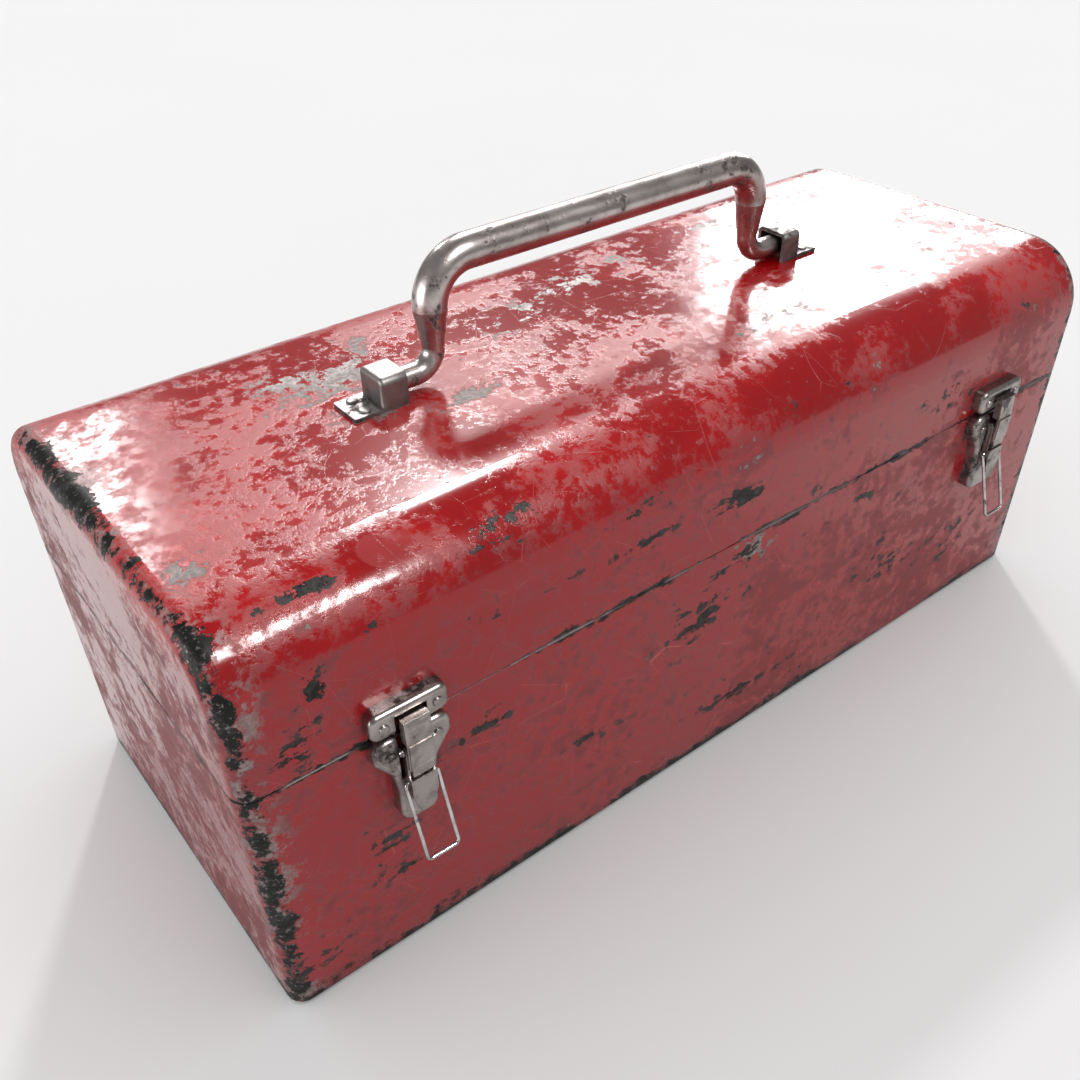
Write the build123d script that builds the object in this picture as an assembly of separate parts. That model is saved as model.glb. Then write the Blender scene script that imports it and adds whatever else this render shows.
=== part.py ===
from build123d import *

import os

# Steel hand toolbox: a base pan, a lid with arched long edges, a piano hinge behind, two draw
# latches with wire pulls in front, a drop handle on top and a lift-out tray inside.
# Millimetres. The origin is on the floor under the middle of the box. X runs along the box,
# the latches face -Y, the hinge is on +Y, and +Z is up.

# ---- driving dimensions ----------------------------------------------------------------------

# Box
box_length = 500.0
box_depth = 203.0
box_height = 198.0
split_height = 129.0
sheet = 1.0
top_arc = 33.0
end_radius = 8.0
floor_radius = 3.0
rim_gap = 0.4
hem_height = 4.0
rim_round = 0.4

# Clearances
move_gap = 0.3
pin_gap = 0.05

# Rivets through sheet
rivet_radius = 1.5
rivet_head_radius = 2.6
rivet_head_height = 0.9

# Piano hinge
hinge_inset = 22.0
hinge_knuckles = 19
hinge_knuckle_radius = 2.5
hinge_pin_radius = 1.3
hinge_leaf_sheet = 1.0
hinge_leaf_height = 13.0
hinge_knuckle_gap = 0.2
hinge_rivets = 7

# Handle and its brackets
handle_inner_span = 226.0
handle_pivot_height = 7.0
handle_grip_height = 52.5
handle_leg_span = 188.0
handle_grip_radius = 7.5
handle_end_radius = 5.0
handle_lower_bend = 10.0
handle_upper_bend = 19.0
handle_stud_radius = 2.5
bracket_sheet = 1.8
bracket_hood_length = 12.5
bracket_hood_width = 18.0
bracket_hood_height = 14.5
bracket_hood_round = 3.0
bracket_foot_length = 13.5
bracket_rivet_spacing = 9.6
doubler_sheet = 1.5
doubler_margin = 3.0

# Latches: heights are measured from the split, depths from the front panel
latch_inset = 67.0
latch_sheet = 1.0
latch_depth = 6.5
latch_edge_round = 2.5
latch_width = 34.0
plate_drop = 1.5
plate_height = 46.0
plate_ear_height = 10.0
plate_waist_width = 20.0
plate_tongue_width = 17.0
plate_tongue_height = 18.0
plate_rivet_spacing = 21.0
keeper_rise = 3.4
keeper_height = 12.6
keeper_slot_width = 14.0
keeper_bridge = 3.5
keeper_lip_height = 2.6
keeper_lip_depth = 4.5
keeper_rivet_spacing = 23.0
latch_rivet_radius = 1.2
latch_rivet_head_radius = 2.1

# Lever, hook and wire pull: what stands proud does so past the latch's depth
lever_width = 11.5
lever_sheet = 1.0
strap_sheet = 1.2
strap_proud = 3.5
lever_pivot_proud = 1.4
lever_pivot_drop = 5.0
lever_boss_radius = 1.7
lever_stud_radius = 0.9
lever_stud_head_radius = 1.3
lever_stud_head = 0.8
hook_pin_proud = 0.8
hook_pin_drop = 15.5
hook_pin_radius = 1.1
hook_eye_radius = 2.3
hook_width = 11.4
hook_rise = 11.0
hook_lean = 0.8
hook_tail = 2.5
hook_tail_round = 1.1
tab_top_drop = 19.2
tab_clip_drop = 28.0
tab_end_drop = 38.0
tab_end_width = 6.0
lug_sheet = 1.0
bail_wire_radius = 0.8
bail_pivot_proud = 1.9
bail_pivot_drop = 21.6
bail_half_width = 7.2
bail_length = 36.2
bail_corner = 1.8
bail_lean = 18.0

# Tray and its rests
tray_side_clearance = 4.2
tray_below_split = 2.0
tray_height = 42.0
tray_sheet = 1.2
tray_corner = 5.0
tray_bottom_radius = 2.0
tray_dividers = 2
divider_sheet = 1.0
divider_below_rim = 6.0
tray_bar_radius = 4.0
tray_bar_rise = 7.5
tray_lug_width = 16.0
tray_lug_sheet = 1.5
tray_lug_overlap = 26.0
tray_screw_radius = 1.6
tray_screw_depth = 8.0
tray_screw_head_radius = 3.2
tray_screw_head = 1.5
rest_width = 14.0
rest_leg = 16.0
rest_sheet = 1.2
rest_end_inset = 24.0

# ---- places that follow from them ------------------------------------------------------------

half_length = box_length / 2
half_depth = box_depth / 2
lid_rim = split_height + rim_gap
hinge_y = half_depth + hinge_knuckle_radius + move_gap
hinge_leaf_start = hinge_knuckle_radius + 0.1
hinge_length = box_length - 2 * hinge_inset
hinge_rivet_offset = hinge_leaf_start + 0.6 * hinge_leaf_height
handle_axis_z = box_height + handle_pivot_height
hood_inner_x = handle_inner_span / 2
hood_outer_x = hood_inner_x + bracket_hood_length
foot_outer_x = hood_outer_x + bracket_foot_length
latch_x = half_length - latch_inset
plate_top = split_height + plate_drop
plate_bottom = plate_top - plate_height - plate_drop
keeper_bottom = split_height + keeper_rise
keeper_top = keeper_bottom + keeper_height
strap_depth = latch_depth + strap_proud
lever_pivot_depth = latch_depth + lever_pivot_proud
hook_pin_depth = latch_depth + hook_pin_proud
bail_pivot_depth = latch_depth + bail_pivot_proud
lever_pivot_z = split_height - lever_pivot_drop
hook_pin_z = split_height - hook_pin_drop
plate_rivet_z = split_height - 6.5
keeper_rivet_z = (keeper_bottom + keeper_top) / 2 - 0.4
window_half = lever_width / 2 + move_gap + lug_sheet
window_bottom = hook_pin_z - 5.0
lever_inner_half = lever_width / 2 - lever_sheet
tab_top = split_height - tab_top_drop
bail_pivot_z = split_height - bail_pivot_drop
tray_top = split_height - tray_below_split
tray_floor = tray_top - tray_height
tray_half_length = half_length - 2 * sheet - tray_side_clearance
tray_half_depth = half_depth - 2 * sheet - tray_side_clearance
tray_bar_z = tray_top + tray_bar_rise
sides = {"left": -1, "right": 1}


# ---- helpers ---------------------------------------------------------------------------------

def block(x_low, x_high, y_low, y_high, z_low, z_high):
    """Box between two corners."""
    centre = Pos((x_low + x_high) / 2, (y_low + y_high) / 2, (z_low + z_high) / 2)
    return centre * Box(x_high - x_low, y_high - y_low, z_high - z_low)


def rod_x(x_low, x_high, y, z, radius):
    """Round bar along X."""
    return Pos((x_low + x_high) / 2, y, z) * Rot(0, 90, 0) * Cylinder(radius, x_high - x_low)


def rounded_prism(half_x, half_y, z_low, z_high, radius):
    """Upright prism on a rectangle with rounded corners."""
    outline = RectangleRounded(2 * half_x, 2 * half_y, radius)
    return extrude(Pos(0, 0, z_low) * outline, amount=z_high - z_low)


def side_profile(points, x_low, x_high):
    """Straight-sided outline in (depth from the front panel, height), extruded along X."""
    corners = [(-half_depth - depth, height) for depth, height in points]
    outline = make_face(Polyline(*corners, close=True))
    return extrude(Plane.YZ.offset(x_low) * outline, amount=x_high - x_low)


def front_plate(outline, centre_x, depth_low, depth_high):
    """Outline in (X, Z) on the front panel, extruded outwards between two depths."""
    plane = Plane.XZ.offset(half_depth + depth_low)
    return extrude(plane * Pos(centre_x, 0) * outline, amount=depth_high - depth_low)


def rivet(head_seat, tail_seat, radius, head_radius, head_height):
    """Rivet along +Z: its dome stands on head_seat and its tail grips at tail_seat."""
    dome = Pos(0, 0, head_seat + head_height / 2) * Cylinder(head_radius, head_height)
    dome = fillet(dome.edges().group_by(Axis.Z)[-1], 0.8 * head_height)
    shank = Pos(0, 0, (head_seat + tail_seat) / 2) * Cylinder(radius, head_seat - tail_seat)
    tail = Pos(0, 0, tail_seat - head_height / 2) * Cylinder(head_radius, head_height)
    return dome + shank + tail


def front_facing(x, z):
    """Turns +Z to point out of the front panel, at a place on it."""
    return Pos(x, 0, z) * Rot(90, 0, 0)


def back_facing(x, z):
    """Turns +Z to point out of the back panel, at a place on it."""
    return Pos(x, 0, z) * Rot(-90, 0, 0)


def spread(count, span):
    """Evenly spaced places along a span that is centred on zero."""
    return [span * (index / (count - 1) - 0.5) for index in range(count)]


def save(shape, name):
    """One node, one STEP file; a group keeps its pieces as separate solids."""
    if isinstance(shape, list):
        shape = Compound(children=[solid for item in shape for solid in item.solids()])
    export_step(shape, f"parts/{name}.step")


# ---- shells ----------------------------------------------------------------------------------

def lid_block(inset, low):
    """Solid lid drawn in by inset: arched long edges and rounded ends."""
    half = half_depth - inset
    top = box_height - inset
    outline = Rectangle(2 * half, top - low)
    outline = fillet(outline.vertices().group_by(Axis.Y)[-1], top_arc - inset)
    solid = extrude(Plane.YZ * Pos(0, (top + low) / 2) * outline, half_length - inset, both=True)
    ends = solid.faces().filter_by(Axis.X).edges()
    ends = ends.filter_by(lambda edge: edge.center().Z > low + 0.01)
    return fillet(ends, end_radius - inset)


def make_lid_shell():
    """Lid: one sheet thick, with a hem folded inside its rim."""
    outer = lid_block(0, lid_rim)
    outer = fillet(outer.edges().group_by(Axis.Z)[0], rim_round)
    hollow = lid_block(sheet, lid_rim + hem_height)
    mouth = rounded_prism(half_length - 2 * sheet, half_depth - 2 * sheet,
                          lid_rim - 1, lid_rim + hem_height, end_radius - 2 * sheet)
    shell = outer - hollow - mouth
    for x, y in handle_rivet_places():
        shell -= Pos(x, y, box_height) * Cylinder(rivet_radius, 4 * sheet)
    for x in hinge_rivet_places():
        hole = Pos(0, 0, half_depth) * Cylinder(rivet_radius, 4 * sheet)
        shell -= back_facing(x, split_height + hinge_rivet_offset) * hole
    for x in keeper_rivet_places():
        hole = Pos(0, 0, half_depth) * Cylinder(latch_rivet_radius, 4 * sheet)
        shell -= front_facing(x, keeper_rivet_z) * hole
    return shell


def make_base_shell():
    """Base pan: one sheet thick, with a hem folded inside its rim."""
    outer = rounded_prism(half_length, half_depth, 0, split_height, end_radius)
    outer = fillet(outer.edges().group_by(Axis.Z)[0], floor_radius)
    outer = fillet(outer.edges().group_by(Axis.Z)[-1], rim_round)
    hollow = rounded_prism(half_length - sheet, half_depth - sheet,
                           sheet, split_height - hem_height, end_radius - sheet)
    hollow = fillet(hollow.edges().group_by(Axis.Z)[0], floor_radius - sheet)
    mouth = rounded_prism(half_length - 2 * sheet, half_depth - 2 * sheet,
                          split_height - hem_height, split_height + 1, end_radius - 2 * sheet)
    shell = outer - hollow - mouth
    for x in hinge_rivet_places():
        hole = Pos(0, 0, half_depth) * Cylinder(rivet_radius, 4 * sheet)
        shell -= back_facing(x, split_height - hinge_rivet_offset) * hole
    for x in plate_rivet_places():
        hole = Pos(0, 0, half_depth) * Cylinder(latch_rivet_radius, 4 * sheet)
        shell -= front_facing(x, plate_rivet_z) * hole
    return shell


# ---- piano hinge -----------------------------------------------------------------------------

def hinge_rivet_places():
    """X of the rivets in each hinge leaf."""
    return spread(hinge_rivets, hinge_length - 3 * hinge_leaf_height)


def make_hinge_leaf(direction, first, bore):
    """Leaf up (+1) or down (-1) from the pin; its knuckles are every other one from first."""
    def level(offset):
        return split_height + direction * offset

    plate_low, plate_high = sorted([level(hinge_leaf_start), level(hinge_leaf_start + hinge_leaf_height)])
    leaf = block(-hinge_length / 2, hinge_length / 2,
                 half_depth, half_depth + hinge_leaf_sheet, plate_low, plate_high)
    leaf = fillet(leaf.edges().filter_by(Axis.Y), 1.5)
    pitch = hinge_length / hinge_knuckles
    for index in range(first, hinge_knuckles, 2):
        x_low = -hinge_length / 2 + index * pitch + hinge_knuckle_gap / 2
        x_high = x_low + pitch - hinge_knuckle_gap
        tab_low, tab_high = sorted([split_height, level(hinge_leaf_start + 2)])
        leaf += block(x_low, x_high, half_depth, half_depth + hinge_leaf_sheet, tab_low, tab_high)
        leaf += rod_x(x_low, x_high, hinge_y, split_height, hinge_knuckle_radius)
    leaf -= rod_x(-hinge_length, hinge_length, hinge_y, split_height, bore)
    for x in hinge_rivet_places():
        hole = Pos(0, 0, half_depth) * Cylinder(rivet_radius, 4 * hinge_leaf_sheet)
        leaf -= back_facing(x, level(hinge_rivet_offset)) * hole
    return leaf


def make_hinge_rivets(direction):
    """Row of rivets that holds one leaf to its panel."""
    pieces = []
    for x in hinge_rivet_places():
        place = back_facing(x, split_height + direction * hinge_rivet_offset)
        pieces.append(place * rivet(half_depth + hinge_leaf_sheet, half_depth - sheet,
                                    rivet_radius, rivet_head_radius, rivet_head_height))
    return pieces


# ---- handle ----------------------------------------------------------------------------------

def handle_rivet_places():
    """Centres of the rivets in the two bracket feet."""
    x = (hood_outer_x + foot_outer_x) / 2
    return [(side * x, end * bracket_rivet_spacing / 2) for side in (-1, 1) for end in (-1, 1)]


def make_handle_bracket(side):
    """Pressed hood open towards the handle, with a riveted foot behind it."""
    half = bracket_hood_width / 2
    top = box_height + bracket_hood_height
    hood = block(hood_inner_x, hood_outer_x, -half, half, box_height, top)
    hood = fillet(hood.edges().filter_by(Axis.X).group_by(Axis.Z)[-1], bracket_hood_round)
    back = hood.faces().sort_by(Axis.X)[-1].edges()
    hood = fillet(back.filter_by(lambda edge: edge.center().Z > box_height + 0.01), 2.0)
    inside = block(hood_inner_x - 1, hood_outer_x - bracket_sheet, bracket_sheet - half,
                   half - bracket_sheet, box_height - 1, top - bracket_sheet)
    inner_round = bracket_hood_round - bracket_sheet
    inside = fillet(inside.edges().filter_by(Axis.X).group_by(Axis.Z)[-1], inner_round)
    foot = block(hood_outer_x - bracket_sheet, foot_outer_x, -half, half,
                 box_height, box_height + bracket_sheet)
    foot = fillet(foot.edges().filter_by(Axis.Z).group_by(Axis.X)[-1], 1.0)
    bracket = hood - inside + foot
    for x, y in handle_rivet_places():
        if x > 0:
            bracket -= Pos(x, y, box_height) * Cylinder(rivet_radius, 4 * bracket_sheet)
    return bracket if side > 0 else mirror(bracket, Plane.YZ)


def make_handle_doubler(side):
    """Stiffening plate under the lid below one bracket."""
    half = bracket_hood_width / 2 + doubler_margin
    top = box_height - sheet
    plate = block(hood_inner_x - doubler_margin, foot_outer_x + doubler_margin,
                  -half, half, top - doubler_sheet, top)
    plate = fillet(plate.edges().filter_by(Axis.Z), 2.0)
    for x, y in handle_rivet_places():
        if x > 0:
            plate -= Pos(x, y, top) * Cylinder(rivet_radius, 4 * doubler_sheet)
    return plate if side > 0 else mirror(plate, Plane.YZ)


def make_handle_rivets():
    """Rivets through foot, lid and doubler."""
    head_seat = box_height + bracket_sheet
    tail_seat = box_height - sheet - doubler_sheet
    one = rivet(head_seat, tail_seat, rivet_radius, rivet_head_radius, rivet_head_height)
    return [Pos(x, y, 0) * one for x, y in handle_rivet_places()]


def make_handle_studs():
    """Stud welded inside each hood, on which the handle turns."""
    wall = hood_outer_x - bracket_sheet
    return [rod_x(*sorted([side * hood_inner_x, side * wall]), 0, handle_axis_z, handle_stud_radius)
            for side in (-1, 1)]


def make_handle():
    """Bent bar: slim ends in the hoods, legs that swell up to a thick grip."""
    leg_x = handle_leg_span / 2
    grip_z = box_height + handle_grip_height
    end_x = hood_outer_x - bracket_sheet - 1.5 * move_gap
    low, high = handle_lower_bend, handle_upper_bend
    lower_centre = (leg_x + low, handle_axis_z + low)
    upper_centre = (leg_x - high, grip_z - high)
    half = rod_x(lower_centre[0], end_x, 0, handle_axis_z, handle_end_radius)
    ring = Pos(lower_centre[0], 0, handle_axis_z) * Rot(0, 90, 0) * Circle(handle_end_radius)
    turn = Axis((lower_centre[0], 0, lower_centre[1]), (0, 1, 0))
    half += revolve(ring, turn, 90)
    leg_length = upper_centre[1] - lower_centre[1]
    leg = Cone(handle_end_radius, handle_grip_radius, leg_length)
    half += Pos(leg_x, 0, lower_centre[1] + leg_length / 2) * leg
    ring = Pos(leg_x, 0, upper_centre[1]) * Circle(handle_grip_radius)
    turn = Axis((upper_centre[0], 0, upper_centre[1]), (0, -1, 0))
    half += revolve(ring, turn, 90)
    half += rod_x(0, upper_centre[0], 0, grip_z, handle_grip_radius)
    half -= rod_x(hood_inner_x - 4 * move_gap, end_x + 1, 0, handle_axis_z, handle_stud_radius + pin_gap)
    return half + mirror(half, Plane.YZ)


# ---- latches ---------------------------------------------------------------------------------

def plate_rivet_places():
    """X of the rivets in the ears of both latch plates."""
    return [side * latch_x + end * plate_rivet_spacing / 2 for side in (-1, 1) for end in (-1, 1)]


def keeper_rivet_places():
    """X of the rivets of both keepers."""
    return [side * latch_x + end * keeper_rivet_spacing / 2 for side in (-1, 1) for end in (-1, 1)]


def pressed_cup(outline, centre_x):
    """Sheet pressed out of the front panel's plane, open at the back, with a rounded front edge."""
    inner_outline = offset(outline, -latch_sheet)
    outer = front_plate(outline, centre_x, 0, latch_depth)
    outer = fillet(outer.faces().sort_by(Axis.Y)[0].edges(), latch_edge_round)
    inner = front_plate(inner_outline, centre_x, 0, latch_depth - latch_sheet)
    inner = fillet(inner.faces().sort_by(Axis.Y)[0].edges(), latch_edge_round - latch_sheet)
    return outer - inner


def plate_outline():
    """Two round ears at the top, a waist and a round-ended tongue."""
    ear = latch_width / 2
    waist = plate_waist_width / 2
    tongue = plate_tongue_width / 2
    shoulder = plate_top - plate_ear_height
    tongue_top = plate_bottom + plate_tongue_height
    waist_z = (shoulder + tongue_top) / 2
    right = [(ear, plate_top), (ear, shoulder), (waist, waist_z)]
    right += [(tongue, tongue_top), (tongue, plate_bottom)]
    left = [(-x, z) for x, z in reversed(right)]
    outline = make_face(Polyline(*right, *left, close=True))
    outline = fillet(outline.vertices().group_by(Axis.Y)[-1], 6.0)
    low_corners = outline.vertices().group_by(Axis.Y)[0]
    outline = fillet(low_corners, 5.0)
    bends = [vertex for vertex in outline.vertices()
             if min(abs(vertex.Y - level) for level in (shoulder, waist_z)) < 0.01]
    return fillet(bends, 4.0)


def make_latch_plate(side):
    """Latch body on the base: pressed plate, window for the lever and two pivot lugs."""
    centre = side * latch_x
    plate = pressed_cup(plate_outline(), centre)
    front = -half_depth - latch_depth
    plate -= block(centre - window_half, centre + window_half, front - 1, front + latch_sheet + 1,
                   window_bottom, plate_top + 1)
    lug_radius = lever_boss_radius + 0.1
    for end in (-1, 1):
        near = centre + end * (window_half - lug_sheet)
        far = centre + end * window_half
        x_low, x_high = sorted([near, far])
        lug = block(x_low, x_high, -half_depth - lever_pivot_depth, front + latch_sheet,
                    lever_pivot_z - lug_radius, lever_pivot_z + lug_radius)
        lug += rod_x(x_low, x_high, -half_depth - lever_pivot_depth, lever_pivot_z, lug_radius)
        lug -= rod_x(x_low - 1, x_high + 1, -half_depth - lever_pivot_depth, lever_pivot_z,
                     lever_stud_radius)
        plate += lug
    for end in (-1, 1):
        hole = Pos(0, 0, half_depth + latch_depth) * Cylinder(latch_rivet_radius, 4 * latch_sheet)
        plate -= front_facing(centre + end * plate_rivet_spacing / 2, plate_rivet_z) * hole
    return plate


def make_keeper(side):
    """Keeper on the lid: pressed bridge with a slot for the hook and a set-back lip."""
    centre = side * latch_x
    outline = Pos(0, (keeper_bottom + keeper_top) / 2) * RectangleRounded(latch_width, keeper_height, 4.0)
    keeper = pressed_cup(outline, centre)
    front = -half_depth - latch_depth
    slot = keeper_slot_width / 2
    keeper -= block(centre - slot, centre + slot, front - 1, -half_depth + 1,
                    keeper_bottom - 1, keeper_top - keeper_bridge)
    lip_front = -half_depth - keeper_lip_depth
    lip_top = keeper_bottom + keeper_lip_height
    keeper += block(centre - slot - latch_sheet, centre + slot + latch_sheet,
                    lip_front, lip_front + latch_sheet, keeper_bottom, lip_top)
    for end in (-1, 1):
        x_low, x_high = sorted([centre + end * slot, centre + end * (slot + latch_sheet)])
        keeper += block(x_low, x_high, front + latch_sheet, lip_front + latch_sheet, keeper_bottom, lip_top)
    for end in (-1, 1):
        hole = Pos(0, 0, half_depth + latch_depth) * Cylinder(latch_rivet_radius, 4 * latch_sheet)
        keeper -= front_facing(centre + end * keeper_rivet_spacing / 2, keeper_rivet_z) * hole
    return keeper


def make_latch_rivets(places, height):
    """Rivets through a pressed latch part and its panel."""
    one = rivet(half_depth + latch_depth, half_depth - sheet,
                latch_rivet_radius, latch_rivet_head_radius, rivet_head_height)
    return [front_facing(x, height) * one for x in places]


def make_lever_studs():
    """Short headed studs in the plate lugs; the lever hangs on their inner ends."""
    pieces = []
    for side in (-1, 1):
        for end in (-1, 1):
            centre = side * latch_x
            inner = centre + end * lever_inner_half
            outer = centre + end * window_half
            head = outer + end * lever_stud_head
            y = -half_depth - lever_pivot_depth
            stud = rod_x(*sorted([inner, outer]), y, lever_pivot_z, lever_stud_radius)
            stud += rod_x(*sorted([outer, head]), y, lever_pivot_z, lever_stud_head_radius)
            pieces.append(stud)
    return pieces


def make_lever(side):
    """Lever: two side flanges with a finger tab whose lower corners are clipped."""
    centre = side * latch_x
    half = lever_width / 2
    y_pivot = -half_depth - lever_pivot_depth
    front = lever_pivot_depth + lever_boss_radius
    clear_of_plate = latch_depth + move_gap
    flange = [(lever_pivot_depth - lever_boss_radius, lever_pivot_z),
              (hook_pin_depth - hook_eye_radius, hook_pin_z + 3.5),
              (hook_pin_depth - hook_eye_radius, hook_pin_z - 3.0),
              (clear_of_plate, window_bottom + 0.5),
              (clear_of_plate, split_height - tab_clip_drop + 2),
              (strap_depth, split_height - tab_clip_drop - 2),
              (strap_depth, tab_top),
              (front, tab_top),
              (front, lever_pivot_z)]
    lever = None
    for end in (-1, 1):
        x_low, x_high = sorted([centre + end * lever_inner_half, centre + end * half])
        cheek = side_profile(flange, x_low, x_high)
        cheek += rod_x(x_low, x_high, y_pivot, lever_pivot_z, lever_boss_radius)
        cheek -= rod_x(x_low - 1, x_high + 1, y_pivot, lever_pivot_z, lever_stud_radius + pin_gap)
        cheek -= rod_x(x_low - 1, x_high + 1, -half_depth - hook_pin_depth, hook_pin_z, hook_pin_radius)
        cheek -= rod_x(x_low - 1, x_high + 1, -half_depth - bail_pivot_depth, bail_pivot_z,
                       bail_wire_radius + pin_gap)
        lever = cheek if lever is None else lever + cheek
    clip_z = split_height - tab_clip_drop
    end_z = split_height - tab_end_drop
    tab_end = tab_end_width / 2
    tab_points = [(half, tab_top), (half, clip_z), (tab_end, end_z),
                  (-tab_end, end_z), (-half, clip_z), (-half, tab_top)]
    tab = make_face(Polyline(*tab_points, close=True))
    return lever + front_plate(tab, centre, strap_depth, strap_depth + strap_sheet)


def make_hook_pin(side):
    """Pin across the lever's flanges, on which the hook swings."""
    centre = side * latch_x
    half = lever_width / 2
    return rod_x(centre - half, centre + half, -half_depth - hook_pin_depth, hook_pin_z, hook_pin_radius)


def make_hook(side):
    """Hook: rolled eye, strap up to the keeper, side flanges and a nose over its lip."""
    centre = side * latch_x
    half = hook_width / 2
    narrow = lever_inner_half - move_gap
    bend_z = split_height - 0.5
    top_z = split_height + hook_rise
    back, front = strap_depth, strap_depth + strap_sheet
    nose_tip = keeper_lip_depth + move_gap
    wide_from = hook_pin_z + 2.3
    strap = [(back, wide_from), (back, bend_z), (back - hook_lean, top_z - strap_sheet),
             (nose_tip, top_z - strap_sheet), (nose_tip, top_z), (front - hook_lean, top_z),
             (front, bend_z), (front, wide_from)]
    hook = side_profile(strap, centre - half, centre + half)
    y_pin = -half_depth - hook_pin_depth
    tail_end = hook_pin_z - hook_tail
    tail = [(back, tail_end), (back, wide_from), (front, wide_from), (front, tail_end)]
    lower_strap = side_profile(tail, centre - narrow, centre + narrow)
    tip = lower_strap.edges().filter_by(Axis.X).group_by(Axis.Z)[0].sort_by(Axis.Y)[0]
    hook += fillet(tip, hook_tail_round)
    web = [(hook_pin_depth, hook_pin_z), (hook_pin_depth, hook_pin_z + hook_eye_radius),
           (back, hook_pin_z + hook_eye_radius), (back, hook_pin_z)]
    hook += side_profile(web, centre - narrow, centre + narrow)
    hook += rod_x(centre - narrow, centre + narrow, y_pin, hook_pin_z, hook_eye_radius)
    hook -= rod_x(centre - half, centre + half, y_pin, hook_pin_z, hook_pin_radius + pin_gap)
    flange = [(latch_depth + 2 * move_gap, bend_z), (back, bend_z), (back - hook_lean, top_z - strap_sheet),
              (latch_depth + 2 * move_gap, top_z - strap_sheet)]
    for end in (-1, 1):
        x_low, x_high = sorted([centre + end * (half - lever_sheet), centre + end * half])
        hook += side_profile(flange, x_low, x_high)
    return hook


def make_bail(side):
    """Wire pull: its ends turn in into the lever's flanges, and it leans out as it hangs."""
    ends = lever_inner_half - 0.5
    corners = [(-ends, 0), (-bail_half_width, 0), (-bail_half_width, -bail_length),
               (bail_half_width, -bail_length), (bail_half_width, 0), (ends, 0)]
    route = FilletPolyline(*corners, radius=bail_corner)
    start = Plane(origin=(-ends, 0, 0), x_dir=(0, 1, 0), z_dir=(-1, 0, 0))
    wire = sweep(start * Circle(bail_wire_radius), route)
    upright = Rot(90, 0, 0) * wire
    lean = Rot(-bail_lean, 0, 0) * upright
    return Pos(side * latch_x, -half_depth - bail_pivot_depth, bail_pivot_z) * lean


# ---- tray ------------------------------------------------------------------------------------

def divider_places():
    """X of the cross dividers, which share the tray's length evenly."""
    step = 2 * tray_half_length / (tray_dividers + 1)
    return [-tray_half_length + step * (index + 1) for index in range(tray_dividers)]


def make_tray_pan():
    """Open pan with rounded corners; its lugs are riveted to the end walls."""
    outer = rounded_prism(tray_half_length, tray_half_depth, tray_floor, tray_top, tray_corner)
    outer = fillet(outer.edges().group_by(Axis.Z)[0], tray_bottom_radius)
    inner = rounded_prism(tray_half_length - tray_sheet, tray_half_depth - tray_sheet,
                          tray_floor + tray_sheet, tray_top + 1, tray_corner - tray_sheet)
    inner = fillet(inner.edges().group_by(Axis.Z)[0], tray_bottom_radius - tray_sheet)
    pan = outer - inner
    for y, z in tray_rivet_places():
        pan -= rod_x(-box_length, box_length, y, z, rivet_radius)
    return pan


def tray_rivet_places():
    """Y and Z of the two rivets in each lug."""
    height = tray_top - tray_lug_overlap / 2
    return [(end * tray_lug_width / 4, height) for end in (-1, 1)]


def make_tray_lug(side):
    """Upright strip inside the tray's end wall that carries one end of the bar."""
    outer_x = tray_half_length - tray_sheet
    half = tray_lug_width / 2
    top = tray_bar_z + tray_bar_radius + 0.5
    lug = block(outer_x - tray_lug_sheet, outer_x, -half, half, tray_top - tray_lug_overlap, top)
    lug = fillet(lug.edges().filter_by(Axis.X).group_by(Axis.Z)[-1], 5.0)
    lug -= rod_x(outer_x - 2 * tray_lug_sheet, outer_x + 1, 0, tray_bar_z, tray_screw_radius)
    for y, z in tray_rivet_places():
        lug -= rod_x(outer_x - 2 * tray_lug_sheet, outer_x + 1, y, z, rivet_radius)
    return lug if side > 0 else mirror(lug, Plane.YZ)


def make_tray_lug_rivets():
    """Rivets that hold the lugs to the tray's end walls."""
    head_seat = tray_half_length
    tail_seat = tray_half_length - tray_sheet - tray_lug_sheet
    one = rivet(head_seat, tail_seat, rivet_radius, rivet_head_radius, rivet_head_height)
    pieces = []
    for y, z in tray_rivet_places():
        pieces.append(Pos(0, y, z) * Rot(0, 90, 0) * one)
        pieces.append(Pos(0, y, z) * Rot(0, -90, 0) * one)
    return pieces


def make_tray_bar():
    """Round carrying bar between the lugs, drilled at both ends for its screws."""
    end = tray_half_length - tray_sheet - tray_lug_sheet
    bar = rod_x(-end, end, 0, tray_bar_z, tray_bar_radius)
    for side in (-1, 1):
        hole_ends = sorted([side * end, side * (end - tray_screw_depth)])
        bar -= rod_x(*hole_ends, 0, tray_bar_z, tray_screw_radius)
    return bar


def make_tray_bar_screws():
    """Screws through the lugs into the bar."""
    seat = tray_half_length - tray_sheet
    tip = seat - tray_lug_sheet - tray_screw_depth
    pieces = []
    for side in (-1, 1):
        shank = rod_x(*sorted([side * seat, side * tip]), 0, tray_bar_z, tray_screw_radius)
        head_ends = sorted([side * seat, side * (seat + tray_screw_head)])
        head = rod_x(*head_ends, 0, tray_bar_z, tray_screw_head_radius)
        pieces.append(shank + head)
    return pieces


def make_tray_dividers():
    """Cross dividers between the tray's long walls."""
    wall = tray_half_depth - tray_sheet
    top = tray_top - divider_below_rim
    return [block(x - divider_sheet / 2, x + divider_sheet / 2, -wall, wall, tray_floor + tray_sheet, top)
            - block(x - 1, x + 1, -wall - 1, 1 - wall, tray_floor, tray_floor + tray_bottom_radius)
            - block(x - 1, x + 1, wall - 1, wall + 1, tray_floor, tray_floor + tray_bottom_radius)
            for x in divider_places()]


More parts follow.
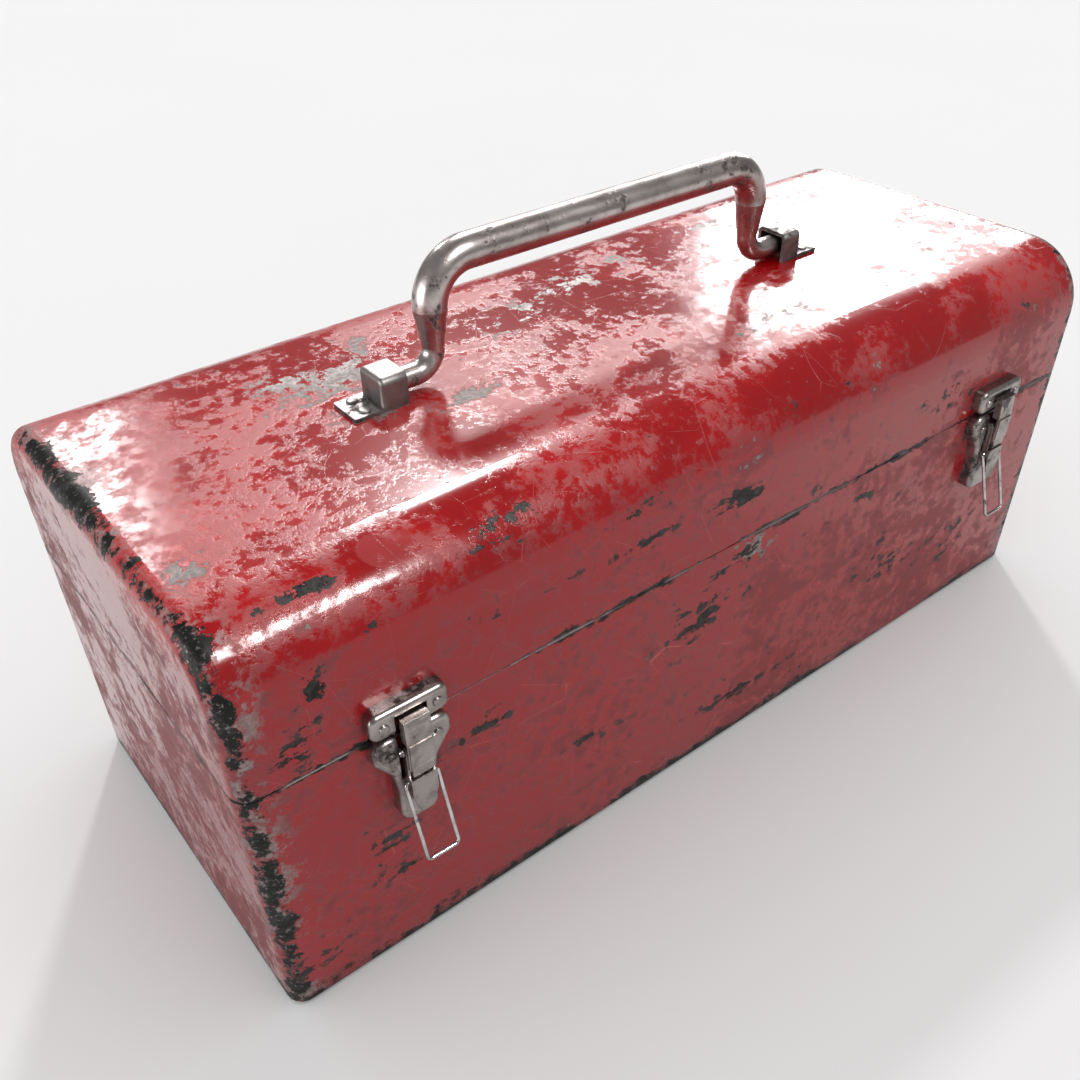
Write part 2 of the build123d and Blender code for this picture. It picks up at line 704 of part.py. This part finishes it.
def make_tray_rest(side):
    """Angle welded inside an end wall, under the tray."""
    top = tray_floor - move_gap
    outer = half_length - sheet
    half = half_depth - rest_end_inset
    angle = block(outer - rest_width, outer, -half, half, top - rest_sheet, top)
    angle += block(outer - rest_sheet, outer, -half, half, top - rest_leg, top)
    return angle if side > 0 else mirror(angle, Plane.YZ)


# ---- output ----------------------------------------------------------------------------------

os.makedirs("parts", exist_ok=True)

save(make_base_shell(), "base_shell")
save(make_lid_shell(), "lid_shell")

save(make_hinge_leaf(-1, 0, hinge_pin_radius), "hinge_leaf_base")
save(make_hinge_leaf(1, 1, hinge_pin_radius + pin_gap), "hinge_leaf_lid")
save(rod_x(-hinge_length / 2, hinge_length / 2, hinge_y, split_height, hinge_pin_radius), "hinge_pin")
save(make_hinge_rivets(-1), "hinge_rivets_base")
save(make_hinge_rivets(1), "hinge_rivets_lid")

save(make_handle(), "handle")
save(make_handle_rivets(), "handle_rivets")
save(make_handle_studs(), "handle_studs")

for name, side in sides.items():
    save(make_handle_bracket(side), f"handle_bracket_{name}")
    save(make_handle_doubler(side), f"handle_doubler_{name}")
    save(make_latch_plate(side), f"latch_plate_{name}")
    save(make_keeper(side), f"latch_keeper_{name}")
    save(make_lever(side), f"latch_lever_{name}")
    save(make_hook_pin(side), f"latch_hook_pin_{name}")
    save(make_hook(side), f"latch_hook_{name}")
    save(make_bail(side), f"latch_bail_{name}")
    save(make_tray_lug(side), f"tray_lug_{name}")
    save(make_tray_rest(side), f"tray_rest_{name}")

save(make_latch_rivets(plate_rivet_places(), plate_rivet_z), "latch_plate_rivets")
save(make_latch_rivets(keeper_rivet_places(), keeper_rivet_z), "latch_keeper_rivets")
save(make_lever_studs(), "latch_lever_studs")

save(make_tray_pan(), "tray_pan")
save(make_tray_dividers(), "tray_dividers")
save(make_tray_lug_rivets(), "tray_lug_rivets")
save(make_tray_bar(), "tray_bar")
save(make_tray_bar_screws(), "tray_bar_screws")
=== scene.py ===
import math

import bmesh
import bpy
from mathutils import Matrix, Vector


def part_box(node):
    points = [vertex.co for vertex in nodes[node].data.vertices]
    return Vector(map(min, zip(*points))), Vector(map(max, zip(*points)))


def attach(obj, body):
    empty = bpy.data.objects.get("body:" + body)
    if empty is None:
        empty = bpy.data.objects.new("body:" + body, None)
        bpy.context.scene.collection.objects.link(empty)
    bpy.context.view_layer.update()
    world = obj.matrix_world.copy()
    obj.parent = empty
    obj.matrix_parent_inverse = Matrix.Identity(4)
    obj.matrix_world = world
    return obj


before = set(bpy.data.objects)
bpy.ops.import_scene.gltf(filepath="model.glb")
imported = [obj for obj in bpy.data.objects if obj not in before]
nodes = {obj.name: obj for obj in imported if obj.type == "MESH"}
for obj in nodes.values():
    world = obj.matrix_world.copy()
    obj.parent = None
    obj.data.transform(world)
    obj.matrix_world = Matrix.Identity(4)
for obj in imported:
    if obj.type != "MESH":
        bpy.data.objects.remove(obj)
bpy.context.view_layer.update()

# ---- places taken from the frame -------------------------------------------------------------

base_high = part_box("base_shell")[1]
lid_low, lid_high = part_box("lid_shell")
HALF_LENGTH = base_high.x
HALF_DEPTH = base_high.y
TOP = lid_high.z
SPLIT = (base_high.z + lid_low.z) / 2
TOP_ARC = 0.033
MM = 0.001
SIDES = ("left", "right")


# ---- shader nodes written as expressions -----------------------------------------------------

class Sock:
    """A number socket that takes part in Python arithmetic."""

    def __init__(self, tree, socket):
        self.tree = tree
        self.socket = socket

    def _math(self, operation, first, second=0.0):
        node = self.tree.make("ShaderNodeMath", {"operation": operation}, {0: first, 1: second})
        return Sock(self.tree, node.outputs[0])

    def __add__(self, other):
        return self._math("ADD", self, other)

    __radd__ = __add__

    def __mul__(self, other):
        return self._math("MULTIPLY", self, other)

    __rmul__ = __mul__

    def __sub__(self, other):
        return self._math("SUBTRACT", self, other)

    def __rsub__(self, other):
        return self._math("SUBTRACT", other, self)

    def __truediv__(self, other):
        return self._math("DIVIDE", self, other)

    def __pow__(self, power):
        return self._math("POWER", self, power)

    def __abs__(self):
        return self._math("ABSOLUTE", self)

    def at_least(self, other):
        return self._math("MAXIMUM", self, other)

    def at_most(self, other):
        return self._math("MINIMUM", self, other)

    def above(self, low, high):
        """Smooth step: 0 under low and 1 over high."""
        node = self.tree.make("ShaderNodeMapRange",
                              {"interpolation_type": "SMOOTHSTEP", "clamp": True},
                              {"Value": self, "From Min": low, "From Max": high})
        return Sock(self.tree, node.outputs[0])

    def below(self, low, high):
        """Smooth step: 1 under low and 0 over high."""
        return 1 - self.above(low, high)


class Finish:
    """A node material under construction, with the object's own coordinates at hand."""

    def __init__(self, name):
        self.material = bpy.data.materials.new(name)
        self.material.use_nodes = True
        self.tree = self.material.node_tree
        self.tree.nodes.clear()
        self.place = self.make("ShaderNodeTexCoord", {}, {}).outputs["Object"]
        split = self.make("ShaderNodeSeparateXYZ", {}, {0: self.place})
        self.x, self.y, self.z = (Sock(self, split.outputs[i]) for i in range(3))

    def make(self, kind, settings, values):
        """Adds a node: its settings first, then the values or links of its sockets."""
        node = self.tree.nodes.new(kind)
        for key, value in settings.items():
            setattr(node, key, value)
        for key, value in values.items():
            if isinstance(value, Sock):
                value = value.socket
            if isinstance(value, bpy.types.NodeSocket):
                self.tree.links.new(value, node.inputs[key])
            else:
                node.inputs[key].default_value = value
        return node

    def stretched(self, scale, turn=(0, 0, 0)):
        """The place, turned and then scaled differently along each axis."""
        node = self.make("ShaderNodeMapping", {"vector_type": "TEXTURE"},
                         {"Vector": self.place, "Rotation": turn, "Scale": [1 / s for s in scale]})
        return node.outputs[0]

    def noise(self, scale, detail=5.0, rough=0.55, where=None, twist=0.0):
        """Fractal noise around 0.5."""
        node = self.make("ShaderNodeTexNoise", {"noise_dimensions": "3D"},
                         {"Vector": where or self.place, "Scale": scale, "Detail": detail,
                          "Roughness": rough, "Distortion": twist})
        return Sock(self, node.outputs[0])

    def cracks(self, scale, where=None):
        """Distance to the borders of random cells."""
        node = self.make("ShaderNodeTexVoronoi", {"feature": "DISTANCE_TO_EDGE"},
                         {"Vector": where or self.place, "Scale": scale})
        return Sock(self, node.outputs["Distance"])

    def spot(self, centre, radii, turn):
        """1 in the middle of a soft ellipsoid, 0 on its surface and outside."""
        inside = self.make("ShaderNodeMapping", {"vector_type": "TEXTURE"},
                           {"Vector": self.place, "Location": centre, "Rotation": turn, "Scale": radii})
        length = self.make("ShaderNodeVectorMath", {"operation": "LENGTH"}, {0: inside.outputs[0]})
        return (1 - Sock(self, length.outputs["Value"])).at_least(0)

    def blend(self, share, first, second):
        """Colour between two colours or colour sockets."""
        node = self.make("ShaderNodeMix", {"data_type": "RGBA", "blend_type": "MIX"}, {})
        for socket, value in ((node.inputs[0], share), (node.inputs[6], first), (node.inputs[7], second)):
            if isinstance(value, Sock):
                value = value.socket
            if isinstance(value, bpy.types.NodeSocket):
                self.tree.links.new(value, socket)
            elif isinstance(value, (int, float)):
                socket.default_value = value
            else:
                socket.default_value = (*value, 1.0)
        return node.outputs[2]

    def bump(self, height, distance):
        """Normal of a relief, whose height is in units of the distance."""
        return self.make("ShaderNodeBump", {}, {"Height": height, "Distance": distance}).outputs[0]

    def finish(self, color, rough, metallic, normal=None, coat=None, **fixed):
        """Ends the material with one Principled shader."""
        values = {"Base Color": color, "Roughness": rough, "Metallic": metallic}
        if normal is not None:
            values["Normal"] = normal
        if coat is not None:
            values["Coat Weight"] = coat
        values.update(fixed)
        shader = self.make("ShaderNodeBsdfPrincipled", {}, values)
        self.make("ShaderNodeOutputMaterial", {}, {"Surface": shader.outputs[0]})
        return self.material


# ---- worn red enamel of the shells -----------------------------------------------------------

FRESH_RED = (0.52, 0.005, 0.007)
DEEP_RED = (0.34, 0.003, 0.005)
# The next colour is painted shade: the same enamel given a darker red on the walls than on the top.
SHADED_WALL_RED = (0.265, 0.005, 0.008)
# The next colour is chalky faded paint in the rings and scratches, and painted sheen in the haze patches.
CHALKY_AND_SHEEN_RED = (0.46, 0.080, 0.080)
# The next colour is dust and painted sheen on the walls.
DUST_AND_SHEEN_RED = (0.180, 0.038, 0.042)
PRIMER = (0.20, 0.18, 0.17)
PALE_PRIMER = (0.31, 0.26, 0.25)
DARK_STEEL = (0.012, 0.012, 0.011)
SCALE_STEEL = (0.055, 0.052, 0.050)
BRIGHT_STEEL = (0.50, 0.47, 0.45)
INNER_DEEP = (0.22, 0.006, 0.007)
INNER_FRESH = (0.33, 0.010, 0.011)
SCUFFED = (0.30, 0.16, 0.15)

# Worn places in millimetres, rounded to 5. The middles of 20 of the 35 come from points that a separate
# fitting script worked out, as report.md says. The other middles, the sizes and the turns were given one by
# one.
# On the top: x, y, half length, half width, and turn in degrees.
TOP_PATCHES = [(-125, 30, 52, 34, 20), (-145, 40, 36, 22, -15), (-235, -55, 17, 14, 30),
               (-30, 25, 62, 24, 10), (-90, -20, 56, 12, 10), (20, 40, 70, 18, 5),
               (110, 55, 40, 14, -10), (130, 0, 26, 22, 0), (-130, -5, 30, 20, 0), (60, -50, 46, 10, 5)]
PALE_RINGS = [(-230, -30, 15, 10, 10), (-170, -85, 14, 9, -20), (-205, 20, 11, 8, 15)]
# On the front arc: x, angle from the top in degrees, half length, half width.
ARC_CHIPS = [(-205, 30, 32, 9), (-190, 70, 17, 10), (-130, 45, 28, 11), (-70, 85, 46, 14),
             (30, 55, 30, 9), (-215, 85, 9, 15)]
# On the front: x, height, half length, half height.
LID_CHIPS = [(-70, 155, 52, 12), (-10, 155, 34, 12), (70, 135, 60, 10), (-145, 160, 20, 12),
             (150, 150, 46, 14), (-225, 140, 16, 20)]
BASE_CHIPS = [(10, 120, 50, 12), (85, 115, 44, 12), (-25, 95, 40, 18), (-145, 105, 24, 16),
              (-235, 25, 40, 34), (-90, 60, 30, 26), (-200, 60, 28, 30), (120, 60, 44, 24),
              (185, 45, 44, 28), (20, 30, 80, 24)]
BASE_WEAR = BASE_CHIPS[:1]
DEPTH_ON_TOP = 12
DEPTH_ON_FRONT = 6


def on_top(places):
    """Ellipsoids on the flat top."""
    return [((x, y, TOP / MM), (length, width, DEPTH_ON_TOP), turn)
            for x, y, length, width, turn in places]


def on_arc(places):
    """Ellipsoids on the arched front edge of the lid."""
    found = []
    for x, angle, length, width in places:
        turn = math.radians(angle)
        y = -(HALF_DEPTH - TOP_ARC) - TOP_ARC * math.sin(turn)
        z = TOP - TOP_ARC + TOP_ARC * math.cos(turn)
        found.append(((x, y / MM, z / MM), (length, width, width), 0))
    return found


def on_front(places):
    """Ellipsoids on the front panels."""
    return [((x, -HALF_DEPTH / MM, z), (length, DEPTH_ON_FRONT, height), 0)
            for x, z, length, height in places]


def spots(finish, places):
    """Union of soft ellipsoids given in millimetres."""
    total = None
    for centre, radii, turn in places:
        one = finish.spot([v * MM for v in centre], [v * MM for v in radii],
                          (0, 0, math.radians(turn)))
        total = one if total is None else total.at_least(one)
    return total


def enamel(name, wear_places, chip_places, bottom):
    """Red enamel worn to primer and steel: at the end edges, the rims and in scattered chips; painted shade
    darkens the walls, painted sheen lightens the haze patches and a painted highlight runs along the split.
    """
    f = Finish(name)
    broad = f.noise(9, 4, 0.55)
    patches = f.noise(24, 8, 0.66, twist=0.6)
    grit = f.noise(170, 5, 0.7)
    fine = f.noise(520, 3, 0.6)
    streak = f.noise(62, 7, 0.72, where=f.stretched((0.38, 1, 1)), twist=0.5)
    long_grain = f.noise(150, 5, 0.7, where=f.stretched((0.14, 1, 1)))

    # distances in metres: from the end plane, and inwards from the wrapped sheet on the end faces
    from_end = HALF_LENGTH - abs(f.x)
    over_y = abs(f.y) - (HALF_DEPTH - TOP_ARC)
    over_z = f.z - (TOP - TOP_ARC)
    arc = ((over_y.at_least(0) ** 2 + over_z.at_least(0) ** 2) ** 0.5
           + over_y.at_least(over_z).at_most(0) - TOP_ARC)
    inwards = abs(arc)
    ragged = (streak - 0.5) * 0.016 + (grit - 0.5) * 0.014 + (broad - 0.5) * 0.012
    edge = from_end * 0.8 + inwards * 1.1 + ragged
    edge_wear = edge.below(0.0052, 0.0061)
    edge_fringe = edge.below(0.0061, 0.018) * (patches + (grit - 0.5) * 0.8).above(0.50, 0.60)

    upward = f.z.above(TOP - 0.030, TOP - 0.002)
    haze = (patches * 0.70 + broad * 0.70 + (grit - 0.5) * 0.70
            + (streak - 0.5) * 0.30).above(0.65, 0.82)
    worn = ((patches - 0.5) * 1.5 + (streak - 0.5) * 1.5 + (grit - 0.5) * 1.7
            + spots(f, wear_places) * 0.62).above(0.46, 0.58)
    chips = ((streak - 0.5) * 2.0 + (long_grain - 0.5) * 1.5 + (grit - 0.5) * 1.8
             + spots(f, chip_places) * 0.58).above(0.56, 0.62)
    specks = ((grit - 0.5) * 1.9 + (streak - 0.5) * 1.7 + (broad - 0.5) * 1.2).above(0.55, 0.62)
    rim = abs(f.z - SPLIT)
    rim_wear = (rim + (streak - 0.5) * 0.016 + (grit - 0.5) * 0.007).below(0.0004, 0.0014)
    along_a = f.stretched((0.5, 1, 2.2), turn=(0.2, 0.7, 0.1))
    along_b = f.stretched((1.8, 1, 0.4), turn=(0.9, -0.5, 0.4))
    along_c = f.stretched((0.5, 0.5, 1.6), turn=(0.5, 0.2, 0.3))
    scratch_a = f.cracks(14, where=along_a).below(0.0010, 0.0026)
    scratch_b = f.cracks(22, where=along_b).below(0.0008, 0.0022)
    scratch_c = f.cracks(34, where=along_c).below(0.0012, 0.0030)
    broken = f.noise(34, 3, 0.5).above(0.50, 0.58)
    scratches = (scratch_a * broken).at_least(scratch_b * (1 - broken) * 0.8)
    scratches = scratches.at_least(scratch_c * broken * 0.7)

    steel = chips.at_least(edge_wear).at_least(specks * 0.9).at_least(rim_wear)
    if bottom:
        floor_wear = (f.z + (streak - 0.5) * 0.034 + (grit - 0.5) * 0.020
                      + (broad - 0.5) * 0.016).below(0.003, 0.009)
        steel = steel.at_least(floor_wear)
    primer = worn.at_least(edge_fringe * 0.85)
    bare = steel.at_least(primer)

    color = f.blend((broad + (patches - 0.5) * 0.6).above(0.40, 0.62), DEEP_RED, FRESH_RED)
    # Painted shade: the walls and ends below the top are painted a darker red than the top.
    color = f.blend((1 - upward) * 0.85, color, SHADED_WALL_RED)
    # Chalky faded paint and painted sheen: pale pink in the haze patches, much stronger on the top.
    color = f.blend(haze * (0.16 + upward * 0.55), color, CHALKY_AND_SHEEN_RED)
    # Dust and painted sheen on the walls: a greyish pink film laid over the red.
    dust_and_sheen = (haze * 0.55 + (grit - 0.5) * 1.4 + (streak - 0.5) * 0.8 + 0.12).at_least(0).at_most(0.9)
    color = f.blend((1 - upward) * dust_and_sheen, color, DUST_AND_SHEEN_RED)
    if not bottom:
        rings = spots(f, on_top(PALE_RINGS)).above(0.02, 0.12) * 0.5
        color = f.blend(rings, color, CHALKY_AND_SHEEN_RED)
    color = f.blend(scratches * 0.75, color, CHALKY_AND_SHEEN_RED)
    color = f.blend(primer, color, f.blend(fine.above(0.40, 0.62), PRIMER, PALE_PRIMER))
    metal = f.blend(grit.above(0.45, 0.66), DARK_STEEL, SCALE_STEEL)
    metal = f.blend(edge_wear * fine.above(0.56, 0.72) * 0.45, metal, BRIGHT_STEEL)
    color = f.blend(steel, color, metal)
    # Painted highlight: a thin pale line along the split, where the rim edges catch the light.
    painted_rim_highlight = (rim + (streak - 0.5) * 0.003).below(0.0002, 0.0009) * (1 - broken)
    color = f.blend(painted_rim_highlight * 0.7, color, PALE_PRIMER)

    gloss = 0.16 + haze * (0.26 + grit * 0.12) + (broad - 0.5) * 0.10
    rough = (gloss + primer * 0.22 + scratches * 0.12).at_least(steel * (0.38 + fine * 0.15))
    rough = rough.at_least(0.09)
    height = ((1 - bare) * 0.16 + haze * (grit + fine * 0.6) * 0.10 + f.noise(6.5, 2, 0.5) * 0.50
              - scratches * 0.05)
    normal = f.bump(height, MM)
    coat = (1 - bare) * (1 - haze) * 0.35
    return f.finish(color, rough, steel * 0.5 + primer * 0.35, normal, coat=coat,
                    **{"Coat Roughness": 0.10, "Specular IOR Level": 0.28})


# ---- bare and plated metals ------------------------------------------------------------------

def worn_metal(name, bright, dull, grime, grime_from, roughness, brushed=(1, 1, 1), scale=1.0):
    """Handled steel: dulled patches, dark grime in blotches and pits, fine scratches."""
    f = Finish(name)
    blotch = f.noise(38 * scale, 7, 0.66, twist=0.5)
    cloud = f.noise(14 * scale, 4, 0.55)
    grain = f.noise(300 * scale, 4, 0.65, where=f.stretched(brushed))
    speck = f.noise(210 * scale, 4, 0.7)
    dirt = (blotch * 0.62 + cloud * 0.38 + (speck - 0.5) * 0.42).above(grime_from, grime_from + 0.06)
    across = f.stretched((0.4, 1, 1.7), turn=(0.3, 0.5, 0.9))
    marks = f.cracks(60 * scale, where=across).below(0.004, 0.010) * speck.above(0.45, 0.6)
    color = f.blend(blotch.above(0.38, 0.62), bright, dull)
    color = f.blend(dirt * 0.9, color, grime)
    color = f.blend(marks * 0.45, color, bright)
    rough = roughness + (grain - 0.5) * 0.16 + dirt * 0.24 + (cloud - 0.5) * 0.14
    normal = f.bump((grain + speck * 0.5) * 0.030 - dirt * 0.050, MM)
    return f.finish(color, rough.at_least(0.12), 1 - dirt * 0.5, normal)


def tray_paint(name):
    """Satin red inner enamel with scuffs from tools."""
    f = Finish(name)
    cloud = f.noise(12, 4, 0.55)
    grit = f.noise(220, 4, 0.65)
    across = f.stretched((0.4, 1.5, 1), turn=(0.2, 0.1, 0.6))
    scuff = f.cracks(20, where=across).below(0.002, 0.006) * f.noise(50, 3, 0.5).above(0.48, 0.6)
    bare = (f.noise(44, 6, 0.66) + (grit - 0.5) * 0.4).above(0.66, 0.72)
    color = f.blend(cloud.above(0.35, 0.65), INNER_DEEP, INNER_FRESH)
    color = f.blend(scuff * 0.6, color, SCUFFED)
    color = f.blend(bare, color, PRIMER)
    normal = f.bump((grit - bare * 0.8) * 0.05, MM)
    return f.finish(color, 0.36 + bare * 0.15 + (grit - 0.5) * 0.15, bare * 0.5, normal)


RED_LID = enamel("lid_enamel", on_top(TOP_PATCHES), on_arc(ARC_CHIPS) + on_front(LID_CHIPS), bottom=False)
RED_BASE = enamel("base_enamel", on_front(BASE_WEAR), on_front(BASE_CHIPS), bottom=True)
HANDLE_STEEL = worn_metal("handle_steel", bright=(0.54, 0.49, 0.47), dull=(0.36, 0.31, 0.295),
                          grime=(0.035, 0.028, 0.026), grime_from=0.545, roughness=0.30,
                          brushed=(0.25, 1, 1), scale=1.4)
BRACKET_STEEL = worn_metal("bracket_steel", bright=(0.30, 0.28, 0.27), dull=(0.19, 0.17, 0.165),
                           grime=(0.035, 0.028, 0.026), grime_from=0.545, roughness=0.50,
                           brushed=(1, 0.3, 1), scale=1.4)
LATCH_NICKEL = worn_metal("latch_nickel", bright=(0.40, 0.365, 0.345), dull=(0.24, 0.21, 0.20),
                          grime=(0.030, 0.025, 0.023), grime_from=0.535, roughness=0.31,
                          brushed=(1, 1, 0.3), scale=2.2)
BRIGHT_WIRE = worn_metal("pull_wire", bright=(0.60, 0.60, 0.60), dull=(0.40, 0.39, 0.38),
                         grime=(0.05, 0.045, 0.045), grime_from=0.56, roughness=0.14,
                         brushed=(1, 1, 0.3), scale=3.0)
ZINC = worn_metal("hinge_zinc", bright=(0.50, 0.50, 0.49), dull=(0.32, 0.31, 0.30),
                  grime=(0.05, 0.04, 0.035), grime_from=0.57, roughness=0.33, brushed=(0.2, 1, 1))
INNER_RED = tray_paint("tray_enamel")


def dress(name, material):
    """Gives a CAD node its finish."""
    piece = nodes[name]
    piece.data.materials.clear()
    piece.data.materials.append(material)


finishes = {"base_shell": RED_BASE, "lid_shell": RED_LID,
            "handle": HANDLE_STEEL, "handle_rivets": BRACKET_STEEL, "handle_studs": HANDLE_STEEL,
            "hinge_leaf_base": ZINC, "hinge_leaf_lid": ZINC, "hinge_pin": ZINC,
            "hinge_rivets_base": ZINC, "hinge_rivets_lid": ZINC,
            "latch_plate_rivets": LATCH_NICKEL, "latch_keeper_rivets": LATCH_NICKEL,
            "latch_lever_studs": LATCH_NICKEL, "tray_pan": INNER_RED, "tray_dividers": INNER_RED,
            "tray_lug_rivets": ZINC, "tray_bar": ZINC, "tray_bar_screws": ZINC}
for side in SIDES:
    finishes.update({f"handle_bracket_{side}": BRACKET_STEEL, f"handle_doubler_{side}": INNER_RED,
                     f"latch_plate_{side}": LATCH_NICKEL, f"latch_keeper_{side}": LATCH_NICKEL,
                     f"latch_lever_{side}": LATCH_NICKEL, f"latch_hook_pin_{side}": LATCH_NICKEL,
                     f"latch_hook_{side}": LATCH_NICKEL, f"latch_bail_{side}": BRIGHT_WIRE,
                     f"tray_lug_{side}": ZINC, f"tray_rest_{side}": INNER_RED})
for node_name, material in finishes.items():
    dress(node_name, material)


WELD_WITHIN = 0.01 * MM
SHARP_FROM = math.radians(50)


def soften(name, width):
    """Rounds the sharp edges of a pressed metal part a little, so that they catch the light."""
    piece = nodes[name]
    weld = piece.modifiers.new("weld", "WELD")
    weld.merge_threshold = WELD_WITHIN
    bevel = piece.modifiers.new("bevel", "BEVEL")
    bevel.width = width
    bevel.segments = 2
    bevel.limit_method = "ANGLE"
    bevel.angle_limit = SHARP_FROM


for side in SIDES:
    soften(f"handle_bracket_{side}", 0.5 * MM)
    for part in ("plate", "keeper", "lever", "hook"):
        soften(f"latch_{part}_{side}", 0.2 * MM)


# ---- raised pads pressed into the hooks -------------------------------------------------------

PAD_WIDTH = 10.2 * MM
PAD_PROUD = 0.7 * MM
PAD_BOTTOM = SPLIT - 13.0 * MM
PAD_TOP = SPLIT - 0.9 * MM
PAD_RIM = 1.3 * MM
PAD_PANEL_DEPTH = 0.25 * MM
PAD_ROUND = 0.28 * MM


def make_hook_pad(side):
    """Stepped pad on the upright front of a hook, with a rounded rim and a shallow panel."""
    low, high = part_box(f"latch_hook_{side}")
    size = Vector((PAD_WIDTH, 2 * PAD_PROUD, PAD_TOP - PAD_BOTTOM))
    middle = Vector(((low.x + high.x) / 2, low.y, (PAD_TOP + PAD_BOTTOM) / 2))
    bm = bmesh.new()
    bmesh.ops.create_cube(bm, size=1.0)
    bmesh.ops.scale(bm, vec=size, verts=bm.verts)
    bmesh.ops.translate(bm, vec=middle, verts=bm.verts)
    front = min(bm.faces, key=lambda face: face.calc_center_median().y)
    bmesh.ops.inset_individual(bm, faces=[front], thickness=PAD_RIM)
    bmesh.ops.translate(bm, vec=(0, PAD_PANEL_DEPTH, 0), verts=front.verts)
    bmesh.ops.bevel(bm, geom=bm.edges[:], offset=PAD_ROUND, segments=3, profile=0.5,
                    affect="EDGES", material=-1)
    mesh = bpy.data.meshes.new(f"hook_pad_{side}")
    bm.to_mesh(mesh)
    bm.free()
    mesh.materials.append(LATCH_NICKEL)
    pad = bpy.data.objects.new(f"hook_pad_{side}", mesh)
    bpy.context.scene.collection.objects.link(pad)
    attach(pad, f"hook_{side}")


for side in SIDES:
    make_hook_pad(side)


# ---- floor, light and camera -----------------------------------------------------------------

FLOOR_HALF = 6.0
FLOOR_DROP = 0.2 * MM
FLOOR_DULL = (0.86, 0.86, 0.86)
FLOOR_PALE = (0.89, 0.89, 0.89)


def make_floor():
    """Plain pale flat floor, just under the box."""
    f = Finish("pale_floor")
    cloud = f.noise(2.2, 3, 0.5)
    color = f.blend(cloud, FLOOR_DULL, FLOOR_PALE)
    material = f.finish(color, 0.6, 0.0, **{"Specular IOR Level": 0.0})
    mesh = bpy.data.meshes.new("floor")
    bm = bmesh.new()
    bmesh.ops.create_grid(bm, x_segments=1, y_segments=1, size=FLOOR_HALF)
    bm.to_mesh(mesh)
    bm.free()
    floor = bpy.data.objects.new("floor", mesh)
    floor.location.z = -FLOOR_DROP
    bpy.context.scene.collection.objects.link(floor)
    mesh.materials.append(material)


def hang(name, lamp, place, target, reflected_only):
    """Places a lamp and aims it; a reflected one shows in gloss but doesn't light flat paint."""
    holder = bpy.data.objects.new(name, lamp)
    holder.location = place
    aim = Vector(target) - Vector(place)
    holder.rotation_euler = aim.to_track_quat("-Z", "Y").to_euler()
    holder.visible_diffuse = not reflected_only
    bpy.context.scene.collection.objects.link(holder)


def window(name, place, target, size, power):
    """Soft rectangular lamp aimed at a point, seen only in gloss."""
    lamp = bpy.data.lights.new(name, "AREA")
    lamp.shape = "RECTANGLE"
    lamp.size, lamp.size_y = size
    lamp.energy = power
    hang(name, lamp, place, target, reflected_only=True)


def sun(name, direction, strength, width, reflected_only):
    """Even light from one direction; width is its angle in degrees."""
    lamp = bpy.data.lights.new(name, "SUN")
    lamp.energy = strength
    lamp.angle = math.radians(width)
    hang(name, lamp, direction, (0, 0, 0), reflected_only)


AROUND = 0.90
AROUND_IN_GLOSS = 0.25
KEY_FROM = (0.434, 0.639, 0.633)


def make_lights():
    """White surroundings, dimmer in reflections, a key from behind on the right, and windows."""
    world = bpy.data.worlds.new("studio")
    world.use_nodes = True
    tree = world.node_tree
    path = tree.nodes.new("ShaderNodeLightPath")
    level = tree.nodes.new("ShaderNodeMapRange")
    level.inputs["To Min"].default_value = AROUND
    level.inputs["To Max"].default_value = AROUND_IN_GLOSS
    tree.links.new(path.outputs["Is Glossy Ray"], level.inputs["Value"])
    background = tree.nodes["Background"]
    background.inputs["Color"].default_value = (1, 1, 1, 1)
    tree.links.new(level.outputs["Result"], background.inputs["Strength"])
    bpy.context.scene.world = world
    bpy.context.scene.view_settings.view_transform = "Standard"
    sun("key", KEY_FROM, strength=0.75, width=4, reflected_only=False)
    sun("key_sheen", KEY_FROM, strength=2.0, width=8, reflected_only=True)
    window("right_window", (2.35, 1.45, 1.12), target=(0.18, 0, 0.2), size=(1.0, 0.60), power=56)
    window("left_window", (0.10, 1.64, 1.20), target=(-0.24, 0, 0.2), size=(0.16, 0.60), power=6)
    window("arc_window", (0.20, -0.98, 1.32), target=(-0.21, -0.09, 0.19), size=(0.34, 0.30), power=18)
    window("left_wall", (-1.9, 0.3, 0.35), target=(-0.25, 0, 0.1), size=(1.4, 0.9), power=22)


CAMERA_PLACE = (-0.31435, -0.35707, 0.42120)
CAMERA_TURN = math.radians(-37.52)
CAMERA_DOWN = math.radians(39.34)
CAMERA_ROLL = math.radians(-1.06)
SENSOR_MM = 36.0
LENS_MM = 36.22
FRAME_SHIFT = 0.0506


def make_camera():
    """Camera above the left front corner, looking down; the frame is shifted up a little."""
    forward = Vector((-math.sin(CAMERA_TURN) * math.cos(CAMERA_DOWN),
                      math.cos(CAMERA_TURN) * math.cos(CAMERA_DOWN), -math.sin(CAMERA_DOWN)))
    right = forward.cross(Vector((0, 0, 1))).normalized()
    up = right.cross(forward)
    turned_right = right * math.cos(CAMERA_ROLL) + up * math.sin(CAMERA_ROLL)
    turned_up = up * math.cos(CAMERA_ROLL) - right * math.sin(CAMERA_ROLL)
    lens = bpy.data.cameras.new("camera")
    lens.sensor_width = SENSOR_MM
    lens.lens = LENS_MM
    lens.shift_y = FRAME_SHIFT
    lens.clip_start = 0.01
    camera = bpy.data.objects.new("camera", lens)
    rotation = Matrix((turned_right, turned_up, -forward)).transposed()
    camera.matrix_world = Matrix.Translation(CAMERA_PLACE) @ rotation.to_4x4()
    bpy.context.scene.collection.objects.link(camera)
    bpy.context.scene.camera = camera


make_floor()
make_lights()
make_camera()
